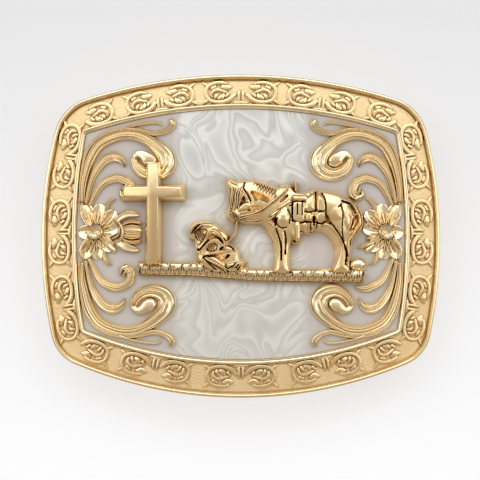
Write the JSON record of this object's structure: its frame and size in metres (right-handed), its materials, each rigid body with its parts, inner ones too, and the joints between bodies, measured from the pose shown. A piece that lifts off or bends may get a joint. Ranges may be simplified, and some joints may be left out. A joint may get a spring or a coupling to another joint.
{
  "type": "western belt buckle",
  "caption": "Western belt buckle: arched cast plate with medallion border and pearl enamel field, raised cross, kneeling rider, horse, scrolls and flowers; belt loop and hook peg behind.",
  "frame": {"origin": "on the resting surface, below the middle of the buckle's bounding box", "axes": "+X along the belt towards the belt loop's side, +Y up the face as worn, +Z out of the face"},
  "size_m": [0.1, 0.08, 0.0186],
  "materials": {
    "gold_metal": "polished pale gold plating, frosted in the border",
    "pearl_enamel": "glossy pearl enamel with mother-of-pearl swirls"
  },
  "bodies": {
    "root": {"buckle_body": "gold_metal", "pearl_enamel": "pearl_enamel", "scroll_top_left": "gold_metal", "scroll_top_right": "gold_metal", "scroll_bottom_left": "gold_metal", "scroll_bottom_right": "gold_metal", "flower_left": "gold_metal", "flower_right": "gold_metal", "cross": "gold_metal", "ground_strip": "gold_metal", "kneeling_rider": "gold_metal", "horse": "gold_metal", "belt_loop": "gold_metal", "belt_hook": "gold_metal"}
  },
  "joints": []
}
